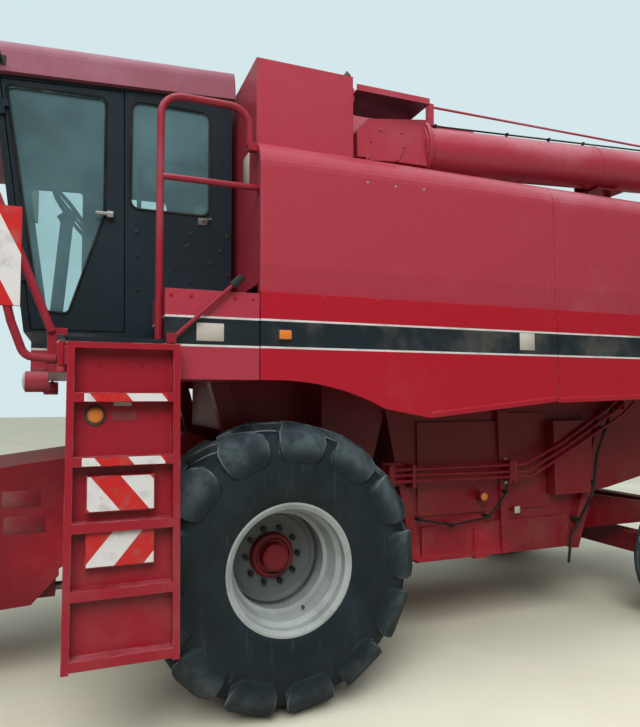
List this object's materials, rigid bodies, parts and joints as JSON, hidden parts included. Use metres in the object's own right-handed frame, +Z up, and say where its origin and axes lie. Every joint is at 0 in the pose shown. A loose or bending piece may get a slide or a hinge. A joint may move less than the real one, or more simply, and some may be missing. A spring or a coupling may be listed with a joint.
{
  "type": "combine harvester",
  "caption": "Self-propelled combine harvester with cab, ladder, grain tank, swinging unloading auger, feeder house, large drive wheels and steered rear wheels.",
  "frame": {"origin": "middle of the footprint on the ground", "axes": "+X forward, +Y to the left, +Z up"},
  "size_m": [7.85, 3.4228, 3.8023],
  "materials": {
    "red_paint": "faded gloss, dusty",
    "deep_red_paint": "gloss, dusty",
    "shield_paint": "gloss with a dark stripe",
    "dark_paint": "satin, dusty",
    "grey_steel": "dirty",
    "zinc": "dull",
    "tyre": "dusty rubber",
    "rim_silver": "silver paint, dirty",
    "glass": "clear, lightly tinted",
    "seat_fabric": "woven cover",
    "plastic": "moulded",
    "screen": "perforated sheet"
  },
  "bodies": {
    "chassis": {"frame": "deep_red_paint", "front_axle": "grey_steel", "rear_axle": "deep_red_paint", "separator_body": "deep_red_paint", "side_left": "red_paint", "side_right": "red_paint", "shield_left": "shield_paint", "shield_right": "shield_paint", "platform": "deep_red_paint", "handrails": "red_paint", "grain_tank": "red_paint", "tank_augers": "zinc", "tank_cover": "red_paint", "cab_shell": "dark_paint", "cab_roof": "red_paint", "cab_glass": "glass", "seat": "seat_fabric", "controls": "plastic", "mirrors": "plastic", "engine": "grey_steel", "engine_deck": "red_paint", "exhaust": "grey_steel", "rear_hood": "red_paint", "grain_elevator": "deep_red_paint", "auger_rest": "deep_red_paint", "side_lines": "deep_red_paint", "harness": "plastic"},
    "wheel_front_left": {"tyre_front_left": "tyre", "rim_front_left": "rim_silver"},
    "wheel_front_right": {"tyre_front_right": "tyre", "rim_front_right": "rim_silver"},
    "knuckle_left": {"knuckle_left": "grey_steel"},
    "knuckle_right": {"knuckle_right": "grey_steel"},
    "wheel_rear_left": {"tyre_rear_left": "tyre", "rim_rear_left": "rim_silver"},
    "wheel_rear_right": {"tyre_rear_right": "tyre", "rim_rear_right": "rim_silver"},
    "tie_rod": {"tie_rod": "grey_steel"},
    "feeder": {"feeder_house": "deep_red_paint", "feeder_chain": "grey_steel"},
    "lift_barrels": {"lift_barrels": "deep_red_paint"},
    "lift_rods": {"lift_rods": "zinc"},
    "cab_door": {"cab_door": "dark_paint", "door_glass": "glass"},
    "ladder": {"ladder": "deep_red_paint"},
    "unloader": {"unloader": "red_paint", "unloader_cable": "plastic"},
    "air_screen": {"air_screen": "screen"},
    "spreader_left": {"spreader_left": "zinc"},
    "spreader_right": {"spreader_right": "zinc"}
  },
  "joints": [
    {"name": "roll_front_left", "type": "hinge", "parent": "chassis", "child": "wheel_front_left", "pos_m": [1.525, 1.2, 0.8], "axis": [0, 1, 0], "continuous": true},
    {"name": "roll_front_right", "type": "hinge", "parent": "chassis", "child": "wheel_front_right", "pos_m": [1.525, -1.2, 0.8], "axis": [0, 1, 0], "continuous": true},
    {"name": "steer_left", "type": "hinge", "parent": "chassis", "child": "knuckle_left", "pos_m": [-1.925, 0.92, 0.482], "axis": [0, 0, 1], "range_deg": [-35, 35]},
    {"name": "steer_right", "type": "hinge", "parent": "chassis", "child": "knuckle_right", "pos_m": [-1.925, -0.92, 0.482], "axis": [0, 0, 1], "range_deg": [-35, 35]},
    {"name": "tie_rod_pin", "type": "hinge", "parent": "knuckle_left", "child": "tie_rod", "pos_m": [-2.105, 0.92, 0.43], "axis": [0, 0, 1], "range_deg": [-35, 35]},
    {"name": "roll_rear_left", "type": "hinge", "parent": "knuckle_left", "child": "wheel_rear_left", "pos_m": [-1.925, 1.15, 0.482], "axis": [0, 1, 0], "continuous": true},
    {"name": "roll_rear_right", "type": "hinge", "parent": "knuckle_right", "child": "wheel_rear_right", "pos_m": [-1.925, -1.15, 0.482], "axis": [0, 1, 0], "continuous": true},
    {"name": "feeder_lift", "type": "hinge", "parent": "chassis", "child": "feeder", "pos_m": [1.925, 0, 1.3], "axis": [0, 1, 0], "range_deg": [-8, 12]},
    {"name": "barrel_pivot", "type": "hinge", "parent": "chassis", "child": "lift_barrels", "pos_m": [1.715, 0, 0.56], "axis": [0, 1, 0], "range_deg": [-8, 11]},
    {"name": "rod_slide", "type": "slide", "parent": "lift_barrels", "child": "lift_rods", "axis": [1, 0, 0], "range_m": [-0.17, 0.12]},
    {"name": "door_hinge", "type": "hinge", "parent": "chassis", "child": "cab_door", "pos_m": [2.90895, 0.964, 2.4], "axis": [-0.132, 0, -0.9913], "range_deg": [0, 65]},
    {"name": "ladder_hinge", "type": "hinge", "parent": "chassis", "child": "ladder", "pos_m": [2.697, 1.515, 1.9], "axis": [0, 0, -1], "range_deg": [0, 90]},
    {"name": "unloader_swing", "type": "hinge", "parent": "chassis", "child": "unloader", "pos_m": [0.85, 1.16, 3.2], "axis": [0, 0, -1], "range_deg": [0, 95]},
    {"name": "screen_spin", "type": "hinge", "parent": "chassis", "child": "air_screen", "pos_m": [-1.495, -1.48, 2.96], "axis": [0, 1, 0], "continuous": true},
    {"name": "spreader_left_spin", "type": "hinge", "parent": "chassis", "child": "spreader_left", "pos_m": [-2.895, 0.42, 1.3], "axis": [0, 0, 1], "continuous": true},
    {"name": "spreader_right_spin", "type": "hinge", "parent": "chassis", "child": "spreader_right", "pos_m": [-2.895, -0.42, 1.3], "axis": [0, 0, 1], "continuous": true}
  ],
  "couplings": [
    {"joint": "steer_right", "follows": "steer_left", "ratio": 1},
    {"joint": "tie_rod_pin", "follows": "steer_left", "ratio": -1},
    {"joint": "barrel_pivot", "follows": "feeder_lift", "ratio": 0.82},
    {"joint": "rod_slide", "follows": "feeder_lift", "m_per_rad": -0.745}
  ]
}
